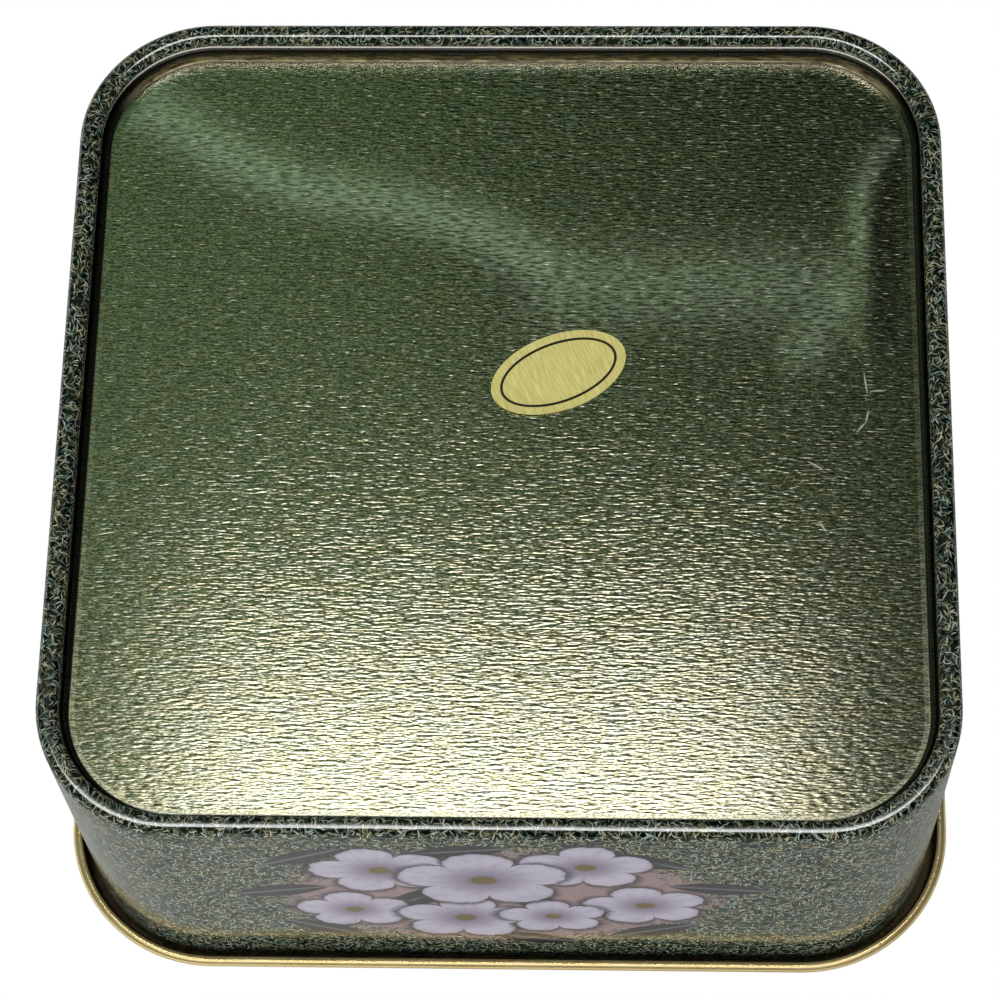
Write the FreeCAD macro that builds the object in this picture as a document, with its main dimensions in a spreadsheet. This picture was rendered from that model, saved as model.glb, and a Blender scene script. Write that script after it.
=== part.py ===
# A square tin box with rounded corners and a slip lid, standing on its base with the lid closed.
# Millimetres. +Z is up, the origin is the middle of the plane that the base hem rests on,
# and the wall that carries the picture faces -Y.
import FreeCAD, Part
import math
import os
import Sketcher

SIZES = {
    # The body wall, a strip of tinplate bent round and locked at the back
    "side": 120.0,              # outside to outside, the same both ways
    "corner_radius": 18.4,      # outside of the wall
    "height": 58.0,             # base hem to the top of the closed lid
    "gauge": 0.25,              # thickness of the sheet
    "hem_bend": 0.93,           # inside radius of the two bends of the base hem
    "hem_flat": 0.5,            # flat between those bends, which the tin rests on
    "hem_leg": 0.97,            # straight leg that ends in the hem's cut edge
    "mouth_bend": 0.65,         # inside radius of the hem at the mouth
    "mouth_leg": 0.8,           # straight leg that ends that hem
    "seam_width": 4.0,          # flattened lock seam
    "seam_margin": 1.0,         # seam ends, clear of the base flange and of the mouth hem
    "seam_step_width": 0.3,     # fine groove that the seam leaves outside
    "seam_step_depth": 0.1,
    # The base panel, a pressed pan hooked over the hem's cut edge
    "flange_bend": 0.25,        # inside of the flange's two tight bends
    "lock_fit": 0.1,            # flange edge to the wall
    "lock_leg": 0.7,            # straight part of the edge turned down into the hem
    "chuck_gap": 0.54,          # hem to the pan's upright wall
    "chuck_leg": 0.35,          # straight part of that wall
    "panel_fillet": 1.2,        # hollow round between that wall and the panel
    # The lid, drawn from one sheet, its edge curled outwards
    "lid_clearance": 1.1,       # body wall to the lid's skirt
    "lid_gap": 0.3,             # mouth hem to the lid's panel
    "shoulder_bend": 1.55,      # inside radius between the lid's panel and its skirt
    "skirt_leg": 3.2,           # straight part of the skirt
    "lid_curl_bend": 0.55,       # inside radius of the curl
    # The oval foil label under the base panel
    "label_length": 19.3,
    "label_width": 11.3,
    "label_thickness": 0.1,
    "label_right": -7.3,        # its middle, from the middle of the base
    "label_back": 7.3,
    "label_turn": -23.5,        # degrees, its long axis from +X
}

BEND_FLATS = 3              # flats that stand for a quarter turn of a small bend
SEAM_LAYERS = 2             # sheets that the lock seam adds inside the wall
DIGITS = 9                  # of the sines and cosines in an expression

doc = FreeCAD.newDocument("tin_box")
sheet = doc.addObject("Spreadsheet::Sheet", "Sizes")
for row, (alias, number) in enumerate(SIZES.items(), start=1):
    sheet.set(f"A{row}", alias)
    sheet.set(f"B{row}", str(number))
    sheet.setAlias(f"B{row}", alias)
doc.recompute()


class Size:
    """A length: the expression that gives it from the sheet, and its value now."""

    def __init__(self, text, value):
        self.text = text
        self.value = value

    def __add__(self, other):
        return Size(f"({self.text} + {other.text})", self.value + other.value)

    def __sub__(self, other):
        return Size(f"({self.text} - {other.text})", self.value - other.value)

    def __mul__(self, factor):
        return Size(f"({self.text} * {factor})", self.value * factor)


def size(alias):
    return Size(f"Sizes.{alias}", float(sheet.get(alias)))


def pin(sketch, geo, end, axis, length):
    """Holds one end of a line or arc at a distance from the sketch's origin along an axis."""
    kind, zero_line = {"x": ("DistanceX", -2), "y": ("DistanceY", -1)}[axis]
    if length.value == 0:
        sketch.addConstraint(Sketcher.Constraint("PointOnObject", geo, end, zero_line))
        return
    origin, point = (-1, 1), (geo, end)
    if length.value < 0:
        origin, point = point, origin
        length = length * -1
    index = sketch.addConstraint(Sketcher.Constraint(kind, *origin, *point, length.value))
    sketch.setExpression(f"Constraints[{index}]", length.text)


def arc_between(start, end, radius, turn):
    """The arc of under a half circle from start to end that turns left (1) or right (-1)."""
    chord = end - start
    side = FreeCAD.Vector(-chord.y, chord.x, 0).normalize() * turn
    centre = (start + end) * 0.5 + side * max(radius ** 2 - chord.Length ** 2 / 4, 0) ** 0.5
    first, last = (start, end) if turn > 0 else (end, start)
    angles = [math.atan2(p.y - centre.y, p.x - centre.x) for p in (first, last)]
    return Part.ArcOfCircle(Part.Circle(centre, FreeCAD.Vector(0, 0, 1), radius), *angles)


def draw_loop(sketch, steps):
    """Draws a closed loop. A line reaches a step of (x, y), an arc one of (x, y, radius, turn)."""
    points = [FreeCAD.Vector(step[0].value, step[1].value, 0) for step in steps]
    starts = []
    ends = []
    for i, step in enumerate(steps):
        before = points[i - 1]
        if len(step) == 2:
            geo = sketch.addGeometry(Part.LineSegment(before, points[i]), False)
            turn = 1
        else:
            radius, turn = step[2:]
            geo = sketch.addGeometry(arc_between(before, points[i], radius.value, turn), False)
            index = sketch.addConstraint(Sketcher.Constraint("Radius", geo, radius.value))
            sketch.setExpression(f"Constraints[{index}]", radius.text)
        starts.append((geo, 1 if turn > 0 else 2))
        ends.append((geo, 2 if turn > 0 else 1))
    for i, step in enumerate(steps):
        following = starts[(i + 1) % len(steps)]
        sketch.addConstraint(Sketcher.Constraint("Coincident", *ends[i], *following))
        pin(sketch, *ends[i], "x", step[0])
        pin(sketch, *ends[i], "y", step[1])


def bend_steps(across, up, radius, first, last):
    """Steps round a small bend, as short flats, from one angle to another in degrees."""
    count = BEND_FLATS * abs(last - first) // 90
    steps = []
    for i in range(count + 1):
        angle = math.radians(first + (last - first) * i / count)
        x = across + radius * round(math.cos(angle), DIGITS)
        steps.append((x, up + radius * round(math.sin(angle), DIGITS)))
    return steps


def new_sketch(body, name, plane, lift=None):
    """A sketch on one of the body's own planes, raised along Z where lift is given."""
    sketch = body.newObject("Sketcher::SketchObject", name)
    origin_plane = next(f for f in body.Origin.OriginFeatures if f.Role == plane)
    sketch.AttachmentSupport = (origin_plane, [""])
    sketch.MapMode = "FlatFace"
    if lift is not None:
        sketch.setExpression("AttachmentOffset.Base.z", lift.text)
    return sketch


def rounded_square(half, radius):
    """Steps of a square with round corners that starts and ends at the middle of its +X side."""
    flat = half - radius
    return [
        (half, flat),
        (flat, half, radius, 1),
        (flat * -1, half),
        (half * -1, flat, radius, 1),
        (half * -1, flat * -1),
        (flat * -1, half * -1, radius, 1),
        (flat, half * -1),
        (half, flat * -1, radius, 1),
        (half, half * 0),
    ]


def sweep(body, name, half, radius, section):
    """Carries a section, drawn in the XZ plane, once round a square with round corners."""
    path = new_sketch(body, name + "_path", "XY_Plane")
    draw_loop(path, rounded_square(half, radius))
    profile = new_sketch(body, name + "_section", "XZ_Plane")
    draw_loop(profile, section)
    doc.recompute()
    pipe = body.newObject("PartDesign::AdditivePipe", name)
    pipe.Profile = profile
    pipe.Spine = (path, [f"Edge{i + 1}" for i in range(path.GeometryCount)])
    doc.recompute()


def pad(body, name, lift, steps, depth):
    """A block of the given depth, upwards from a loop drawn at a height."""
    sketch = new_sketch(body, name + "_outline", "XY_Plane", lift)
    draw_loop(sketch, steps)
    feature = body.newObject("PartDesign::Pad", name)
    feature.Profile = sketch
    feature.setExpression("Length", depth.text)
    doc.recompute()


def rectangle(left, right, front, back):
    return [(right, front), (right, back), (left, back), (left, front)]


def new_body(label):
    body = doc.addObject("PartDesign::Body", label)
    body.Label = label
    return body


# Sizes that more than one piece takes its place from
gauge = size("gauge")
wall = size("side") * 0.5
corner = size("corner_radius")
height = size("height")
ground = gauge * 0

hem_bend = size("hem_bend")
hem_round = hem_bend + gauge
hem_width = hem_round * 2 + size("hem_flat")
hem_edge = hem_round + size("hem_leg")
flange_top = hem_edge + gauge

mouth_bend = size("mouth_bend")
mouth_round = mouth_bend + gauge
mouth_middle = height - gauge - size("lid_gap") - mouth_round
mouth_low = mouth_middle - size("mouth_leg")


def make_body_wall():
    body = new_body("body_wall")
    inner = wall - gauge
    leg = wall - hem_width
    flat_in = leg + hem_round
    flat_out = wall - hem_round
    mouth = wall - mouth_round
    mouth_far = mouth - mouth_round
    section = bend_steps(mouth, mouth_middle, mouth_round, 0, 180) + [
        (mouth_far, mouth_low),
        (mouth_far + gauge, mouth_low),
        (mouth_far + gauge, mouth_middle),
        (mouth, mouth_middle + mouth_bend),
        (inner, mouth_middle),
        (inner, hem_round),
        (flat_out, gauge),
        (flat_in, gauge),
        (leg + gauge, hem_round),
        (leg + gauge, hem_edge),
        (leg, hem_edge),
        (leg, hem_round),
        (flat_in, ground, hem_round, 1),
        (flat_out, ground),
        (wall, hem_round, hem_round, 1),
    ]
    sweep(body, "wall_strip", wall, corner, section)
    add_side_seam(body, inner)
    return body


def add_side_seam(body, inner):
    """The lock seam at the back: folded layers inside, a fine step outside."""
    margin = size("seam_margin")
    low = flange_top + margin
    length = mouth_low - margin - low
    half = size("seam_width") * 0.5
    inside = inner - gauge * SEAM_LAYERS
    pad(body, "seam", low, rectangle(half * -1, half, inside, inner + gauge * 0.5), length)
    step = size("seam_step_width") * 0.5
    groove = new_sketch(body, "seam_step_outline", "XY_Plane", low)
    draw_loop(groove, rectangle(step * -1, step, wall - size("seam_step_depth"), wall + gauge))
    cut = body.newObject("PartDesign::Pocket", "seam_step")
    cut.Profile = groove
    cut.Reversed = True
    cut.setExpression("Length", length.text)
    doc.recompute()


def make_base_panel():
    body = new_body("base_panel")
    bend_round = size("flange_bend") + gauge
    fillet = size("panel_fillet")
    edge = wall - gauge - size("lock_fit")
    lock_low = flange_top - bend_round - size("lock_leg")
    chuck = wall - hem_width - size("chuck_gap")
    chuck_low = hem_edge + bend_round
    chuck_top = chuck_low + size("chuck_leg")
    panel = chuck - fillet
    panel_under = chuck_top + fillet
    upper = bend_steps(panel, chuck_top, fillet + gauge, 0, 90)
    under = bend_steps(panel, chuck_top, fillet, 90, 0)
    section = [
        (edge, flange_top - bend_round),
        (edge - bend_round, flange_top),
        (chuck + bend_round, flange_top),
        (chuck + gauge, chuck_low),
        *upper,
        *under,
        (chuck, chuck_low),
        (chuck + bend_round, hem_edge),
        (edge - bend_round, hem_edge),
        (edge - gauge, flange_top - bend_round),
        (edge - gauge, lock_low),
        (edge, lock_low),
    ]
    sweep(body, "panel_rim", wall, corner, section)
    pad(body, "panel", panel_under, rounded_square(panel, corner - (wall - panel)), gauge)
    return body, panel_under


def make_lid():
    body = new_body("lid")
    bend = size("shoulder_bend")
    bend_round = bend + gauge
    curl_bend = size("lid_curl_bend")
    curl_round = curl_bend + gauge
    skirt = wall + size("lid_clearance")
    skirt_corner = corner + size("lid_clearance")
    skirt_top = height - bend_round
    curl_middle = skirt_top - size("skirt_leg")
    curl = skirt + curl_round
    panel = skirt - bend
    shoulder = bend_steps(panel, skirt_top, bend_round, 0, 90)
    shoulder_inside = bend_steps(panel, skirt_top, bend, 90, 0)
    roll = bend_steps(curl, curl_middle, curl_round, 180, 450)
    section = [
        *shoulder,
        *shoulder_inside,
        *roll,
        (curl, curl_middle + curl_bend),
        (curl + curl_bend, curl_middle),
        (curl, curl_middle - curl_bend),
        (skirt + gauge, curl_middle),
    ]
    sweep(body, "lid_rim", skirt, skirt_corner, section)
    pad(body, "lid_panel", height - gauge, rounded_square(panel, skirt_corner - bend), gauge)
    return body


def make_foil_label(panel_under):
    """A thin oval stuck to the underside of the base panel."""
    oval = doc.addObject("Part::Ellipse", "label_outline")
    oval.setExpression("MajorRadius", (size("label_length") * 0.5).text)
    oval.setExpression("MinorRadius", (size("label_width") * 0.5).text)
    oval.setExpression("Placement.Base.x", size("label_right").text)
    oval.setExpression("Placement.Base.y", size("label_back").text)
    oval.setExpression("Placement.Base.z", (panel_under - size("label_thickness")).text)
    oval.setExpression("Placement.Rotation.Angle", size("label_turn").text)
    label = doc.addObject("Part::Extrusion", "foil_label")
    label.Base = oval
    label.DirMode = "Custom"
    label.Dir = FreeCAD.Vector(0, 0, 1)
    label.setExpression("LengthFwd", size("label_thickness").text)
    label.Solid = True
    label.Label = "foil_label"
    doc.recompute()
    return label


def check(pieces):
    """Stops before anything is written if an object failed or a piece isn't one sound solid."""
    for item in doc.Objects:
        if "Invalid" in item.State or "Error" in item.State:
            raise RuntimeError(f"{item.Name} failed: {item.State}")
    for piece in pieces:
        if piece.Shape.isNull() or not piece.Shape.isValid() or len(piece.Shape.Solids) != 1:
            raise RuntimeError(f"{piece.Label} is not one sound solid")


body_wall = make_body_wall()
base_panel, panel_under = make_base_panel()
lid = make_lid()
foil_label = make_foil_label(panel_under)
pieces = [body_wall, base_panel, lid, foil_label]
check(pieces)

os.makedirs("parts", exist_ok=True)
for piece in pieces:
    piece.Shape.exportStep(f"parts/{piece.Label}.step")
    box = piece.Shape.BoundBox
    print(piece.Label, round(piece.Shape.Volume, 2), "mm3",
          [round(v, 3) for v in (box.XMin, box.YMin, box.ZMin, box.XMax, box.YMax, box.ZMax)])
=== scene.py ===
"""Looks of a square slip-lid tin box: rolled printed sheet, a brushed lacquered base and a foil label."""

import math

import bmesh
import bpy
import numpy as np
from mathutils import Matrix, Vector


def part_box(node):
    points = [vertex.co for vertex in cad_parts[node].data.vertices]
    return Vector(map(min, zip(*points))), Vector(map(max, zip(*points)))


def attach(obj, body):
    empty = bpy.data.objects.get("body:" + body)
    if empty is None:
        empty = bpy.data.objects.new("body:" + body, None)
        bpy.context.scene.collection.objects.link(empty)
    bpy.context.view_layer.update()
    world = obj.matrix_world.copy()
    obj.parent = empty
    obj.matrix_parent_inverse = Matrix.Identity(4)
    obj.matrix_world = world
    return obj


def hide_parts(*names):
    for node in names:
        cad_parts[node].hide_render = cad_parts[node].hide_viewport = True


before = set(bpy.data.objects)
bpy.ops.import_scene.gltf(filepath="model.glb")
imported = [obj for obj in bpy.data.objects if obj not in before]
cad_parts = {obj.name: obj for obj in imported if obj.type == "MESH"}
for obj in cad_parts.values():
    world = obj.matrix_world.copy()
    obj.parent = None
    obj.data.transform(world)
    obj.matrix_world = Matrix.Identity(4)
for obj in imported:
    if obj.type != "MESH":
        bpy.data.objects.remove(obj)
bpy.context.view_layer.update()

# Sizes are in millimetres, and meshes are scaled to metres when they are made.
MM = 0.001
GAUGE = 0.25
CORNER_RADIUS = 18.4  # outside of the wall

# Driving places, read from the frame
_, wall_high = (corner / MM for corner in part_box("body_wall"))
pan_low, pan_high = (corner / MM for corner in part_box("base_panel"))
lid_low, lid_high = (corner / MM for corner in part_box("lid"))
label_low, label_high = (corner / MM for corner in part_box("foil_label"))
WALL = wall_high.x
MOUTH = wall_high.z
PANEL = pan_high.z - GAUGE  # underside of the base panel

# Base hem and mouth hem of the wall
HEM_WIDTH = 2.86
HEM_BEND = 1.18  # outside radius
HEM_EDGE = 2.15  # height of its cut edge
MOUTH_WIDTH = 1.8
MOUTH_LEG = 0.8  # straight part inside, down to its cut edge

# Base pan
CHUCK_FACE = 56.6  # upright face of the recess
CHUCK_FILLET = 0.6  # from that face to the panel
FLANGE_BEND = 0.5
LOCK_BEND = 0.3

# Lid
SHOULDER_BEND = 1.8
CURL_RADIUS = 0.8
CURL_END = 0.5  # from the skirt to the end of the curl
SKIRT_FACE = lid_high.x - 2 * CURL_RADIUS + GAUGE

# Lock seam in the back wall
SEAM_HALF_WIDTH = 2.0
SEAM_LOW = 3.4
SEAM_HIGH = MOUTH - 2.7
SEAM_FOLD_STEPS = 6
STEP_WIDTH = 0.3  # fine groove that it leaves outside
STEP_DEPTH = 0.1
STEP_SLOPE = 0.08

# Foil label
LABEL_LENGTH = 19.3
LABEL_WIDTH = 11.3
LABEL_TURN = math.radians(-23.5)
LABEL_LIFT = 0.22  # one edge has come away from the panel
LABEL_PEEL = (0.42, 0.3)  # where that begins, and over how much of the label it rises
LABEL_GLUE = 0.004  # kept clear of the panel
RING_LENGTH = 16.8  # outside of the printed oval line
RING_WIDTH = 9.0
RING_LINE = 0.38

# Mesh fineness
BEND_STEP = math.radians(9)
LONGEST_STEP = 3.0
SHORTEST_STEP = 0.025  # shorter straights are left out
PANEL_MARGIN = 1.0  # flat strip that is swept with a rim
HOLD = 0.05  # flat left beside the bend, so that shading stays flat up to there
SAME = 0.001  # points closer than this are one
STOP_DIGITS = 6  # stops along a side are rounded to this many digits
ARC_STEPS = 10  # in half a corner
FLAT_STEPS = 60  # along a side
LABEL_RINGS = 14
LABEL_SPOKES = 112
SHARP_ANGLE = math.radians(50)
SHEET = "sheet"  # millimetres along and across the sheet, for the prints

# Soft creases of the base panel: points, depth, half width, and how strong the painted sheen along it is
CREASES = (
    (((53.5, 50.0), (39.2, 40.1), (29.2, 35.4), (15.1, 32.6), (3.8, 28.4), (-4.6, 22.7)), 0.17, 4.2, 0.95),
    (((-7.3, 20.0), (-24.0, 20.3), (-42.0, 20.5)), 0.12, 6.5, 0.70),
    (((-55.2, 44.4), (-52.7, 40.7), (-50.4, 34.1), (-50.0, 23.8), (-49.6, 14.0)), -0.24, 3.0, 0.0),
    (((-53.2, 43.6), (-51.3, 40.7), (-48.9, 34.1), (-48.5, 24.6)), 0.0, 1.5, 0.75),
    (((-46.2, 19.7), (-42.2, 14.7), (-40.9, 11.6)), -0.12, 3.6, 0.85),
)
CREASE_FADE = 7.0  # from the panel's edge
SHEEN_ATTRIBUTE = "painted_sheen"  # how strong the painted sheen is, for its material


# Sections and sweeps

def turned(spot, angle):
    """A spot turned to the left about the origin."""
    cos, sin = math.cos(angle), math.sin(angle)
    return np.array((spot[0] * cos - spot[1] * sin, spot[0] * sin + spot[1] * cos))


def middle_line(corners):
    """Follows (x, z, bend radius) corners. Gives points, right-hand normals and the run to each point."""
    spots = [np.array(corner[:2]) for corner in corners]
    points, normals = [], []

    def put(point, way):
        if not points or np.linalg.norm(point - points[-1]) > SAME:
            points.append(point)
            normals.append(np.array((way[1], -way[0])))

    def straight(start, end):
        count = max(1, math.ceil(np.linalg.norm(end - start) / LONGEST_STEP))
        way = (end - start) / np.linalg.norm(end - start)
        for i in range(count + 1):
            put(start + (end - start) * i / count, way)

    start = spots[0]
    for i in range(1, len(spots) - 1):
        before = (spots[i] - spots[i - 1]) / np.linalg.norm(spots[i] - spots[i - 1])
        after = (spots[i + 1] - spots[i]) / np.linalg.norm(spots[i + 1] - spots[i])
        turn = math.atan2(before[0] * after[1] - before[1] * after[0], before @ after)
        bend = corners[i][2]
        reach = bend * math.tan(abs(turn) / 2)
        first = spots[i] - before * reach
        if np.linalg.norm(first - start) > SHORTEST_STEP:
            straight(start, first)
        side = math.copysign(1, turn)
        centre = first + np.array((-before[1], before[0])) * bend * side
        count = math.ceil(abs(turn) / BEND_STEP)
        for k in range(1, count):
            angle = turn * k / count
            put(centre + turned(first - centre, angle), turned(before, angle))
        start = spots[i] + after * reach
    straight(start, spots[-1])
    points, normals = np.array(points), np.array(normals)
    steps = np.linalg.norm(np.diff(points, axis=0), axis=1)
    return points, normals, np.concatenate(([0], np.cumsum(steps)))


def sheet_outline(corners):
    """Outline of a bent sheet: up its right side, round the cut end and back down its left side."""
    points, normals, run = middle_line(corners)
    right = points + normals * GAUGE / 2
    left = points - normals * GAUGE / 2
    outline = np.concatenate((right, left[::-1]))
    return outline, np.concatenate((run, run[::-1]))


def square_path(centre, radius, extra_stops=()):
    """Once round a square with round corners, from the middle of one corner. Gives the foot of each
    station, its way out and its run. Extra stops go on the third side, which is the back one."""
    feet, ways, run = [], [], [0.0]
    for side in range(4):
        turn = side * math.pi / 2
        stops = set(np.round(np.linspace(-centre, centre, FLAT_STEPS + 1), STOP_DIGITS))
        if side == 2:
            stops |= {round(stop, STOP_DIGITS) for stop in extra_stops}
        stations = [(-centre, -3 * math.pi / 4 + math.pi / 4 * i / ARC_STEPS) for i in range(ARC_STEPS)]
        stations += [(stop, -math.pi / 2) for stop in sorted(stops)]
        stations += [(centre, -math.pi / 2 + math.pi / 4 * i / ARC_STEPS) for i in range(1, ARC_STEPS + 1)]
        for k, (along, angle) in enumerate(stations):
            if k:
                past = stations[k - 1]
                run.append(run[-1] + along - past[0] + (angle - past[1]) * radius)
            if k < len(stations) - 1:
                feet.append(turned((along, -centre), turn))
                ways.append((math.cos(angle + turn), math.sin(angle + turn)))
    return np.array(feet), np.array(ways), np.array(run)


def sweep(outline, run, path, centre, closed):
    """Carries an outline round a path: its vertices, faces and sheet places, and the two end loops."""
    feet, ways, along = path
    stations, count = len(feet), len(outline)
    flat = feet[:, None, :] + ways[:, None, :] * (outline[None, :, :1] - centre)
    up = np.broadcast_to(outline[None, :, 1:], (stations, count, 1))
    vertices = np.concatenate((flat, up), axis=2).reshape(-1, 3)
    faces, places, spans = [], [], []
    for i in range(stations):
        ahead = (i + 1) % stations
        for k in range(count if closed else count - 1):
            over = (k + 1) % count
            faces.append((i * count + k, ahead * count + k, ahead * count + over, i * count + over))
            places.append(((along[i], run[k]), (along[i + 1], run[k]),
                           (along[i + 1], run[over]), (along[i], run[over])))
            spans.append(k)
    loops = [np.arange(stations) * count, np.arange(stations) * count + count - 1]
    return vertices, faces, places, spans, loops


def fill_panel(vertices, loop, rise):
    """Fills a loop round a square with an even grid. rise gives the height above the loop at (x, y)."""
    steps = len(loop) // 4
    ahead = np.arange(steps + 1)
    sides = [np.take(loop, side * steps + ahead, mode="wrap") for side in range(4)]
    low, right, high, left = sides[0], sides[1], sides[2][::-1], sides[3][::-1]
    spots = vertices[:, :2]
    level = vertices[loop[0], 2]
    index = np.zeros((steps + 1, steps + 1), int)
    index[:, 0], index[:, -1], index[0, :], index[-1, :] = low, high, left, right
    made = []
    for i in range(1, steps):
        for j in range(1, steps):
            u, v = i / steps, j / steps
            spot = (1 - v) * spots[low[i]] + v * spots[high[i]]
            spot = spot + (1 - u) * spots[left[j]] + u * spots[right[j]]
            spot = spot - (1 - u) * ((1 - v) * spots[low[0]] + v * spots[high[0]])
            spot = spot - u * ((1 - v) * spots[low[-1]] + v * spots[high[-1]])
            index[i, j] = len(vertices) + len(made)
            made.append(spot)
    made = np.array(made)
    lifted = np.column_stack((made, level + rise(made[:, 0], made[:, 1])))
    vertices = np.concatenate((vertices, lifted))
    faces = [(index[i, j], index[i + 1, j], index[i + 1, j + 1], index[i, j + 1])
             for i in range(steps) for j in range(steps)]
    return vertices, faces


def add_object(name, data):
    """Puts a new object into the scene."""
    made = bpy.data.objects.new(name, data)
    bpy.context.scene.collection.objects.link(made)
    return made


def face_outwards(mesh, merge=0):
    """Merges points that lie closer than merge, and turns all faces outwards."""
    work = bmesh.new()
    work.from_mesh(mesh)
    if merge:
        bmesh.ops.remove_doubles(work, verts=work.verts, dist=merge)
    bmesh.ops.recalc_face_normals(work, faces=work.faces)
    work.to_mesh(mesh)
    work.free()


def make_piece(name, vertices, faces, places, kinds, materials, body, node):
    """Makes a mesh piece in metres that rides on a body and stands for a CAD node."""
    mesh = bpy.data.meshes.new(name)
    mesh.from_pydata((vertices * MM).tolist(), [], [tuple(map(int, face)) for face in faces])
    for material in materials:
        mesh.materials.append(material)
    mesh.polygons.foreach_set("material_index", kinds)
    attribute = mesh.attributes.new(SHEET, "FLOAT_VECTOR", "CORNER")
    flat = np.array([spot for corners in places for spot in corners], float)
    attribute.data.foreach_set("vector", np.column_stack((flat, np.zeros(len(flat)))).ravel())
    face_outwards(mesh)
    mesh.polygons.foreach_set("use_smooth", [True] * len(mesh.polygons))
    mesh.set_sharp_from_angle(angle=SHARP_ANGLE)
    piece = add_object(name, mesh)
    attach(piece, body)
    if node:
        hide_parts(node)
    return piece


def level(x, y):
    """A flat panel."""
    return np.zeros_like(x)


def smooth(value):
    """Eases a value from 0 to 1."""
    value = np.clip(value, 0, 1)
    return value * value * (3 - 2 * value)


def line_share(x, y, points, half_width):
    """How near places are to a line through points: 1 on it, and fading out about a half width away."""
    nearest = np.full_like(x, np.inf)
    for (ax, ay), (bx, by) in zip(points, points[1:]):
        length = (bx - ax) ** 2 + (by - ay) ** 2
        share = np.clip(((x - ax) * (bx - ax) + (y - ay) * (by - ay)) / length, 0, 1)
        nearest = np.minimum(nearest, np.hypot(x - ax - share * (bx - ax), y - ay - share * (by - ay)))
    return np.exp(-(nearest / half_width) ** 2)


def creased(x, y):
    """Height of the base panel's soft creases above its own level."""
    edge = WALL - CORNER_RADIUS
    reach = np.maximum(np.abs(x), np.abs(y))
    corner = np.hypot(np.maximum(np.abs(x) - edge, 0), np.maximum(np.abs(y) - edge, 0)) + edge
    room = CHUCK_FACE - CHUCK_FILLET - np.maximum(reach, corner)
    rise = sum(depth * line_share(x, y, points, half_width) for points, depth, half_width, _ in CREASES)
    return rise * smooth(room / CREASE_FADE)


def painted_sheen_share(x, y):
    """How strong the painted sheen on the base panel is."""
    shares = [painted_sheen * line_share(x, y, points, half_width) for points, _, half_width, painted_sheen in CREASES]
    return np.max(shares, axis=0)


# Shader graphs

# Colour sockets of the mix node
MIX_SHARE = 0
MIX_FIRST = 6
MIX_SECOND = 7
MIX_RESULT = 2
NOISE_MIDDLE = 0.5  # mean of a noise


class Graph:
    """A shader graph. Each method adds a node and gives back its output."""

    def __init__(self, tree):
        self.tree = tree

    def put(self, socket, value):
        if isinstance(value, bpy.types.NodeSocket):
            self.tree.links.new(value, socket)
        elif socket.type == "RGBA":
            socket.default_value = (*value, 1)
        else:
            socket.default_value = value

    def add(self, kind, inputs, **settings):
        node = self.tree.nodes.new(kind)
        for key, value in settings.items():
            setattr(node, key, value)
        for key, value in inputs.items():
            self.put(node.inputs[key], value)
        return node

    def fill(self, node, **values):
        for key, value in values.items():
            self.put(node.inputs[key.replace("_", " ").title().replace("Ior", "IOR")], value)

    def sum(self, operation, *values):
        return self.add("ShaderNodeMath", dict(enumerate(values)), operation=operation).outputs[0]

    def times(self, first, second):
        return self.sum("MULTIPLY", first, second)

    def minus(self, first, second):
        return self.sum("SUBTRACT", first, second)

    def vector(self, operation, *values):
        return self.add("ShaderNodeVectorMath", dict(enumerate(values)), operation=operation).outputs[0]

    def scale(self, place, by):
        return self.add("ShaderNodeVectorMath", {0: place, "Scale": by}, operation="SCALE").outputs[0]

    def stretch(self, place, by, shift=(0, 0, 0)):
        return self.vector("MULTIPLY_ADD", place, by, shift)

    def noise(self, place, detail=2.0, roughness=0.5):
        inputs = {"Vector": place, "Scale": 1.0, "Detail": detail, "Roughness": roughness}
        return self.add("ShaderNodeTexNoise", inputs).outputs[0]

    def ease(self, value, start, end, low=0.0, high=1.0):
        inputs = {"Value": value, "From Min": start, "From Max": end, "To Min": low, "To Max": high}
        return self.add("ShaderNodeMapRange", inputs, interpolation_type="SMOOTHSTEP").outputs[0]

    def mix(self, share, first, second, blend="MIX"):
        inputs = {MIX_SHARE: share, MIX_FIRST: first, MIX_SECOND: second}
        node = self.add("ShaderNodeMix", inputs, data_type="RGBA", blend_type=blend)
        return node.outputs[MIX_RESULT]

    def ramp(self, value, stops):
        node = self.add("ShaderNodeValToRGB", {"Fac": value})
        elements = node.color_ramp.elements
        while len(elements) < len(stops):
            elements.new(1.0)
        for element, (place, colour) in zip(elements, stops):
            element.position = place
            element.color = (*colour, 1)
        return node.outputs[0]

    def attribute(self, name, output="Vector"):
        return self.add("ShaderNodeAttribute", {}, attribute_name=name).outputs[output]

    def object_mm(self):
        place = self.add("ShaderNodeTexCoord", {}).outputs["Object"]
        return self.scale(place, 1 / MM)

    def combine(self, x, y):
        return self.add("ShaderNodeCombineXYZ", {0: x, 1: y}).outputs[0]

    def length(self, place):
        return self.add("ShaderNodeVectorMath", {0: place}, operation="LENGTH").outputs["Value"]

    def turn(self, place, angle):
        inputs = {"Vector": place, "Angle": angle}
        return self.add("ShaderNodeVectorRotate", inputs, rotation_type="Z_AXIS").outputs[0]

    def parts(self, place):
        return self.add("ShaderNodeSeparateXYZ", {0: place}).outputs

    def bump(self, height, distance, strength=1.0):
        inputs = {"Height": height, "Distance": distance, "Strength": strength}
        return self.add("ShaderNodeBump", inputs).outputs[0]


def new_material(name, **values):
    """A material with one Principled shader, whose uniform values are set on its own sockets."""
    material = bpy.data.materials.new(name)
    material.use_nodes = True
    graph = Graph(material.node_tree)
    shader = material.node_tree.nodes["Principled BSDF"]
    graph.fill(shader, **values)
    return material, graph, shader


BLADE_CURVE = 0.6
BLADE_SOFTNESS = 0.045
CHANCE_SPREAD = 7.0  # spreads the chances of the kept cells over 0 to 1 again


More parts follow.
